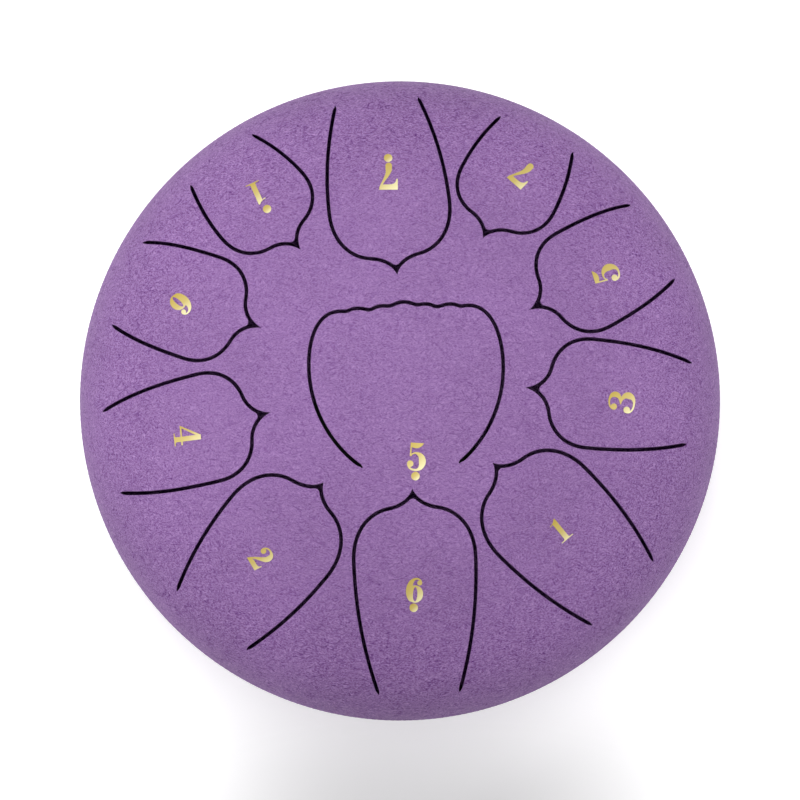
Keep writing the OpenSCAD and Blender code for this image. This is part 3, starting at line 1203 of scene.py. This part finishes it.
    def regions(self) -> tuple[list[Vector], dict[int, list[list[int]]], set[int]]:
        """Meshes the flat sheet and parts it.

        Returns:
            Points on the outer skin, the faces of the shell (0) and of each tongue (from 1), and the numbers
            of the points that lie on a slot.
        """
        turns = (math.tau * k / self.rim_steps for k in range(self.rim_steps))
        self.polygons.append(self.lay(RIM_R * Vector((math.cos(a), math.sin(a))) for a in turns))
        for tongue in self.tongues:
            self.lay_tongue(tongue)
        self.lay_grid()
        flat, _, faces, origins, _, covers = delaunay_2d_cdt(self.points, [], self.polygons, 0, 1e-6)
        slots = {k for polygon in self.polygons[1::2] for k in polygon}
        on_slot = {k for k, sources in enumerate(origins) if slots.intersection(sources)}
        parts: dict[int, list[list[int]]] = {}
        for face, cover in zip(faces, covers):
            if 0 in cover and not any(k % 2 for k in cover):
                parts.setdefault(max(cover) // 2, []).append(face)
        return [self.lifted(p) for p in flat], parts, on_slot

    def plate(self, skin: list[Vector], faces: list[list[int]], on_slot: set[int]) -> bmesh.types.BMesh:
        """Thickens one part of the sheet and rounds its slot edges.

        Args:
            skin: Points on the outer skin.
            faces: Faces of the part.
            on_slot: Numbers of the points that lie on a slot.

        Returns:
            The plate, in millimetres.
        """
        bm = bmesh.new()
        verts = {k: bm.verts.new(skin[k]) for k in sorted({k for face in faces for k in face})}
        for face in faces:
            bm.faces.new([verts[k] for k in face])
        edged = {verts[k] for k in on_slot & verts.keys()}
        rounded = [e for e in bm.edges if e.is_boundary and edged.issuperset(e.verts)]
        made = bmesh.ops.extrude_face_region(bm, geom=[*bm.verts, *bm.edges, *bm.faces], use_keep_orig=True)
        for v in (g for g in made["geom"] if isinstance(g, bmesh.types.BMVert)):
            v.co = self.sunk(v.co)
        bmesh.ops.recalc_face_normals(bm, faces=bm.faces)
        bmesh.ops.bevel(bm, geom=rounded, offset=self.edge_r, offset_type="OFFSET", segments=3, profile=0.5,
                        affect="EDGES", material=-1, clamp_overlap=False)
        return bm

    def smooth(self, obj: bpy.types.Object) -> None:
        """Gives the outer skin the dish's own normals, so that parts meet without a line.

        Args:
            obj: Finished piece.
        """
        mesh = obj.data
        normals = [Vector((0.0, 0.0, 0.0))] * len(mesh.loops)
        for face in mesh.polygons:
            for k in face.loop_indices:
                p = mesh.vertices[mesh.loops[k].vertex_index].co / MM
                r = Vector(p[:2]).length
                if r <= RIM_R and abs(self.dish.at(self.dish.slope_over(r)).y - p.z) < self.skin_gap:
                    normal = self.normal(p)
                    if normal.dot(face.normal) > self.skin_turn:
                        normals[k] = normal
        mesh.normals_split_custom_set(normals)

    def build(self, coat: Finish) -> None:
        """Makes the upper shell and the tongues, and ties the shell to the CAD.

        Args:
            coat: Finish of the steel.
        """
        skin, parts, on_slot = self.regions()
        shell = finished(self.plate(skin, parts[0], on_slot), "upper_shell", coat)
        self.smooth(shell)
        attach(shell, DRUM)
        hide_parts("top_shell")
        for k, tongue in enumerate(self.tongues, 1):
            obj = finished(self.plate(skin, parts[k], on_slot), f"spring_{tongue.note}", coat)
            self.smooth(obj)
            chain = tongue.root_chain(1.0)
            hold = min(p.y for p in traced(chain, 0.1))
            start, end = (tongue.in_plan(Vector((0.0, y))) for y in (hold, hold / 2 + self.flex))
            z = self.dish.at(self.dish.slope_over(start.length)).y
            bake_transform(obj)
            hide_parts(f"tongue_{tongue.note}")


@dataclass
class LowerShell:
    """Lower shell with the sound hole's turned-in collar.

    Attributes:
        dish: Form of the sheet.
        hole_r: Clear radius of the hole.
        bend_r: Inside radius of the bend to the collar.
        collar: Height of the straight collar.
        edge_r: Radius of the collar's rounded edges.
        steps: Number of steps round the axis.
    """

    dish: Dish = Dish(Side.BOTTOM, 334.5, 47.0, 0.28, 0.96)
    hole_r: float = 35.0
    bend_r: float = 3.0
    collar: float = 5.0
    edge_r: float = 0.4
    steps: int = 288

    def bend(self, centre: Vector, radius: float, slope: float, steps: int = 9) -> list[Vector]:
        """Traces the bend from the crown to the collar.

        Args:
            centre: Centre of the bend.
            radius: Radius of the line.
            slope: Slope of the crown where the bend leaves it.
            steps: Number of steps.

        Returns:
            Points of the line.
        """
        turns = (slope - (math.pi / 2 + slope) * k / steps for k in range(1, steps + 1))
        return [centre + radius * Vector((math.sin(a), -math.cos(a))) for a in turns]

    def profile(self) -> list[Vector]:
        """Draws the closed profile, from the rim inwards along the outer skin and back along the inner one.

        Returns:
            Radius and height of each point.
        """
        centre_r = self.hole_r + SHEET + self.bend_r
        path_r = self.dish.crown_r - SHEET - self.bend_r
        slope = math.asin(centre_r / path_r)
        centre = Vector((centre_r, self.dish.crown_z - path_r * math.cos(slope)))
        top = centre.y + self.collar
        outer = [*self.dish.arc(math.pi / 2, slope), *self.bend(centre, self.bend_r + SHEET, slope)]
        inner = [*self.dish.arc(math.pi / 2, slope, SHEET), *self.bend(centre, self.bend_r, slope)]
        e, a, b = self.edge_r, self.hole_r, self.hole_r + SHEET
        lip = [Vector(p) for p in ((a, top - e), (a + 0.3 * e, top - 0.3 * e), (a + e, top),
                                   (b - e, top), (b - 0.3 * e, top - 0.3 * e), (b, top - e))]
        return [*outer, *lip, *inner[::-1]]

    def build(self, coat: Finish) -> None:
        """Makes the lower shell and ties it to the CAD.

        Args:
            coat: Finish of the steel.
        """
        shell = finished(spun(self.profile(), self.steps), "lower_shell", coat)
        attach(shell, DRUM)
        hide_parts("bottom_shell")


@dataclass
class SeamWeld:
    """Weld bead round the rim, with the ripples of its passes.

    Attributes:
        ring_r: Radius of the bead's middle.
        section_r: Radius of its section.
        ripple: Depth of a ripple.
        ripples: Number of ripples round the rim.
        lag: How far a ripple lags at the bead's top and bottom, in radians.
        sides: Number of sides of the section.
        steps: Number of steps to a ripple.
    """

    ring_r: float = 126.5
    section_r: float = 1.3
    ripple: float = 0.06
    ripples: int = 330
    lag: float = 0.9
    sides: int = 12
    steps: int = 5

    def build(self, coat: Finish) -> None:
        """Makes the bead and ties it to the CAD.

        Args:
            coat: Finish of the steel.
        """
        turns = (math.tau * k / self.sides for k in range(self.sides))
        profile = [Vector((self.ring_r + self.section_r * math.cos(a), RIM_Z + self.section_r * math.sin(a)))
                   for a in turns]
        bm = spun(profile, self.ripples * self.steps)
        for v in bm.verts:
            out = Vector((v.co.x, v.co.y)).normalized()
            off = v.co - Vector((*(out * self.ring_r), RIM_Z))
            lag = self.lag * abs(off.z / self.section_r)
            wave = math.sin(self.ripples * math.atan2(v.co.y, v.co.x) - lag)
            v.co -= off.normalized() * self.ripple * (1 - wave) / 2
        bead = finished(bm, "weld_bead", coat, sharp=60.0)
        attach(bead, DRUM)
        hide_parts("seam_weld")


@dataclass
class Foot:
    """A rubber foot, moulded to the curve of the disc above it.

    Attributes:
        number: Number of the foot.
        bearing: Bearing from the drum's axis, in degrees.
        place_r: Distance from the axis.
        face_r: Radius of the standing face.
        body_r: Radius of the upper part.
        flare_z: Height where the flare ends.
        edge: Size of the rounded edge round the face.
        tight: Distance from a crease to the loops that hold it.
        seat_r: Radius of the sphere that the disc's underside lies on.
        seat_z: Height of that sphere's centre.
        steps: Number of steps round the foot.
    """

    number: int
    bearing: float
    place_r: float = 60.0
    face_r: float = 7.7
    body_r: float = 10.0
    flare_z: float = 4.8
    edge: float = 0.8
    tight: float = 0.3
    seat_r: float = 335.3
    seat_z: float = 338.5
    steps: int = 64

    def profile(self) -> list[Vector]:
        """Draws the profile, from the middle of the face up the side and back in to the axis.

        Returns:
            Radius and height of each point, with the top one far above the seat.
        """
        low, high = Vector((self.face_r + self.edge, self.edge)), Vector((self.body_r, self.flare_z))
        way, up, tight = (high - low).normalized(), Vector((0.0, 1.0)), self.tight
        base = [Vector((r, 0.0)) for r in (0.0, 3.0, 6.0, self.face_r - 0.1)]
        start = Vector((self.face_r, 0.0))
        handles = start + Vector((0.5 * self.edge, 0.0)), low - 0.5 * self.edge * way
        corner = interpolate_bezier(start, *handles, low, 6)
        flank = [low + way * tight, high - way * 3 * tight, high - way * tight, high + up * tight,
                 high + up * 3 * tight]
        top = [Vector((r, 2 * self.place_r)) for r in (self.body_r, self.body_r - 0.1, 7.0, 3.5, 0.0)]
        return [*base, *(Vector(p).to_2d() for p in corner), *flank, *top]

    def build(self, rubber: Finish, foam: Finish) -> None:
        """Makes the foot, ties it to the CAD and dresses its disc.

        Args:
            rubber: Finish of the foot.
            foam: Finish of the disc.
        """
        bm = spun(self.profile(), self.steps)
        angle = math.radians(self.bearing)
        way = Vector((math.cos(angle), math.sin(angle), 0.0))
        bm.transform(Matrix.Translation(self.place_r * way))
        for v in bm.verts:
            if v.co.z > self.place_r:
                reach = Vector((v.co.x, v.co.y)).length
                v.co.z = self.seat_z - math.sqrt(self.seat_r ** 2 - reach ** 2)
        bmesh.ops.recalc_face_normals(bm, faces=bm.faces)
        foot = finished(bm, f"rubber_foot_{self.number}", rubber)
        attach(foot, DRUM)
        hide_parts(f"foot_{self.number}")
        foam.dress(bpy.data.objects[f"foot_pad_{self.number}"])


@dataclass
class Figures:
    """Gold numbers, which are the CAD's own pieces.

    Attributes:
        notes: Names of the notes that carry one.
        run_on: How much longer than a shape its painted sheen runs.
    """

    notes: tuple[str, ...]
    run_on: float = 1.2

    def shapes(self, obj: bpy.types.Object) -> tuple[FoilPatch, ...]:
        """Finds a number's separate shapes.

        Args:
            obj: The number.

        Returns:
            Its shapes, with the largest one first.
        """
        bm = bmesh.new()
        bm.from_mesh(obj.data)
        bmesh.ops.remove_doubles(bm, verts=bm.verts, dist=1e-6)
        left, found = set(bm.verts), []
        while left:
            shape, front = set(), {left.pop()}
            while front:
                shape |= front
                front = {edge.other_vert(vert) for vert in front for edge in vert.link_edges} - shape
            left -= shape
            low, high = (Vector(pick(v.co[k] for v in shape) for k in range(3)) for pick in (min, max))
            found.append(FoilPatch((low + high) / 2, self.run_on * max(high - low)))
        bm.free()
        return tuple(sorted(found, key=lambda patch: -patch.reach))

    def build(self) -> None:
        """Dresses each number in foil with a painted sheen that runs across each of its shapes."""
        for note in self.notes:
            number = bpy.data.objects[f"number_{note}"]
            patches = self.shapes(number)
            GoldFoil(name=f"gold_foil_{note}", patches=patches).dress(number)
            LOG.info("number %s dressed, %d shapes", note, len(patches))


# Studio


@dataclass(frozen=True)
class Lamp:
    """A soft square lamp.

    Attributes:
        name: Name of the lamp.
        place: Position in metres.
        size: Side of the lamp in metres.
        power: Power in watts.
    """

    name: str
    place: tuple[float, float, float]
    size: float
    power: float

    def build(self, aim: Vector) -> None:
        """Hangs the lamp.

        Args:
            aim: Point that it faces.
        """
        data = bpy.data.lights.new(self.name, "AREA")
        data.size, data.energy = self.size, self.power
        obj = bpy.data.objects.new(self.name, data)
        obj.location = self.place
        obj.rotation_euler = (Vector(self.place) - aim).to_track_quat("Z", "Y").to_euler()
        bpy.context.scene.collection.objects.link(obj)


@dataclass(frozen=True)
class Floor:
    """White floor with a painted shadow in its middle and a soft painted pool of shade on the near side of
    the drum.

    Attributes:
        half: Half of its side in metres.
        painted_shadow: Share of light that its middle gives back, painted as the shadow under the drum.
        white: Share of light that the rest gives back.
        painted_shadow_r: Radius of its middle that is painted as shadow, in metres, so that no white shows
            through the slots.
        lift: How much brighter than lit the camera sees it.
        pool: Depth of the painted pool of shade.
        near: Where the pool starts and is full, along -Y in metres.
        far: Where it fades and ends, along -Y in metres.
        side: Where it fades and ends to both sides in metres.
        shift: Shift of the pool along X in metres.
    """

    half: float = 6.0
    painted_shadow: float = 0.04
    white: float = 0.96
    painted_shadow_r: float = 0.042
    lift: float = 0.34
    pool: float = 0.36
    near: tuple[float, float] = (0.09, 0.175)
    far: tuple[float, float] = (0.166, 0.205)
    side: tuple[float, float] = (0.02, 0.19)
    shift: float = 0.012

    def shade(self, paint: Shader) -> bpy.types.NodeSocket:
        """Draws the painted pool of shade.

        Args:
            paint: Material to fill in.

        Returns:
            One in the pool and zero round it.
        """
        place = paint.node("SeparateXYZ", {0: paint.place})
        ahead = paint.math("MULTIPLY", place.outputs["Y"], -1.0)
        aside = paint.math("ABSOLUTE", paint.math("SUBTRACT", place.outputs["X"], self.shift))
        along = paint.math("MULTIPLY", paint.spread(ahead, *self.near, (0.0, 1.0)),
                           paint.spread(ahead, *self.far, (1.0, 0.0)))
        return paint.math("MULTIPLY", along, paint.spread(aside, *self.side, (1.0, 0.0)))

    def build(self) -> None:
        """Lays the floor."""
        bm = bmesh.new()
        bmesh.ops.create_grid(bm, x_segments=1, y_segments=1, size=self.half)
        mesh = bpy.data.meshes.new("floor")
        bm.to_mesh(mesh)
        bm.free()
        obj = bpy.data.objects.new("floor", mesh)
        bpy.context.scene.collection.objects.link(obj)
        paint = Shader("studio_white")
        reach = paint.node("VectorMath", {0: paint.place}, operation="LENGTH").outputs["Value"]
        shade = self.shade(paint)
        # Painted shadow: the floor's middle under the drum is painted nearly black.
        painted_shadow_ground = paint.spread(reach, self.painted_shadow_r, 1.5 * self.painted_shadow_r, (self.painted_shadow, self.white))
        # Painted pool of shade: the floor is painted grey on the near side of the drum.
        left = paint.math("SUBTRACT", 1.0, paint.math("MULTIPLY", shade, self.pool))
        painted_shade_grey = paint.math("MULTIPLY", painted_shadow_ground, left)
        colour = paint.node("CombineColor", dict.fromkeys(range(3), painted_shade_grey)).outputs[0]
        paint.feed(paint.surface, "Base Color", colour)
        paint.feed(paint.surface, "Roughness", 1.0)
        paint.feed(paint.surface, "Specular IOR Level", 0.0)
        seen = paint.node("LightPath", {}).outputs["Is Camera Ray"]
        # For the camera the floor is lifted to white, except in the painted shadow and the painted pool of
        # shade.
        lift = paint.spread(reach, self.painted_shadow_r, 2 * self.painted_shadow_r, (0.0, self.lift))
        lift = paint.math("MULTIPLY", lift, paint.math("SUBTRACT", 1.0, shade))
        paint.feed(paint.surface, "Emission Color", (1.0, 1.0, 1.0, 1.0))
        paint.feed(paint.surface, "Emission Strength", paint.math("MULTIPLY", lift, seen))
        mesh.materials.append(paint.material)


@dataclass
class Studio:
    """White studio floor, lamps and the camera above the drum.

    Attributes:
        floor: The floor.
        lamps: Lamps over the floor.
        world: Strength of the white surroundings.
        eye: Place of the camera in metres.
        target: Point that it looks at.
        lens: Focal length in millimetres.
        reach: Distance up to which the camera sees, in metres.
    """

    floor: Floor = Floor()
    lamps: tuple[Lamp, ...] = (
        Lamp("overhead", (0.0, 0.0, 3.0), 2.4, 77.0),
        Lamp("key", (-0.4, 1.6, 2.3), 1.2, 27.0),
        Lamp("low_left", (-2.0, 0.0, 0.5), 0.9, 19.0),
        Lamp("low_right", (2.0, 0.0, 0.5), 0.9, 14.0),
    )
    world: float = 0.1
    eye: tuple[float, float, float] = (0.0, -0.1036, 2.2601)
    target: tuple[float, float, float] = (0.0, 0.0, 0.0625)
    lens: float = 248.0
    reach: float = 60.0

    def surroundings(self) -> None:
        """Lights the scene evenly and keeps the backdrop white, also in reflections."""
        world = bpy.data.worlds.new("studio")
        bpy.context.scene.world = world
        world.use_nodes = True
        tree = world.node_tree
        back = tree.nodes["Background"]
        back.inputs["Color"].default_value = (1.0, 1.0, 1.0, 1.0)
        path = tree.nodes.new("ShaderNodeLightPath")
        seen = path.outputs["Is Camera Ray"]
        for ray in ("Is Glossy Ray", "Is Transmission Ray"):
            either = tree.nodes.new("ShaderNodeMath")
            either.operation = "MAXIMUM"
            tree.links.new(seen, either.inputs[0])
            tree.links.new(path.outputs[ray], either.inputs[1])
            seen = either.outputs[0]
        strength = tree.nodes.new("ShaderNodeMapRange")
        strength.inputs["To Min"].default_value = self.world
        strength.inputs["To Max"].default_value = 1.0
        tree.links.new(seen, strength.inputs["Value"])
        tree.links.new(strength.outputs["Result"], back.inputs["Strength"])

    def camera(self) -> None:
        """Sets the camera almost straight above the drum."""
        data = bpy.data.cameras.new("camera")
        data.lens = self.lens
        data.clip_end = self.reach
        obj = bpy.data.objects.new("camera", data)
        obj.location = self.eye
        obj.rotation_euler = (Vector(self.eye) - Vector(self.target)).to_track_quat("Z", "Y").to_euler()
        bpy.context.scene.collection.objects.link(obj)
        bpy.context.scene.camera = obj

    def build(self) -> None:
        """Sets the studio up."""
        self.floor.build()
        self.surroundings()
        for lamp in self.lamps:
            lamp.build(Vector(self.target))
        self.camera()
        bpy.context.scene.view_settings.view_transform = "Standard"


def main() -> None:
    """Builds the drum on its frame, and the studio round it."""
    logging.basicConfig(level=logging.INFO, format="%(name)s: %(message)s")
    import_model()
    coat, rubber, foam = WrinkleCoat(), FootRubber(), AdhesiveFoam()
    head = Drumhead()
    head.build(coat)
    LowerShell().build(coat)
    SeamWeld().build(coat)
    for number, bearing in enumerate((90.0, 210.0, 330.0), 1):
        Foot(number, bearing).build(rubber, foam)
    Figures(tuple(tongue.note for tongue in head.tongues)).build()
    Studio().build()


if __name__ == "__main__":
    main()
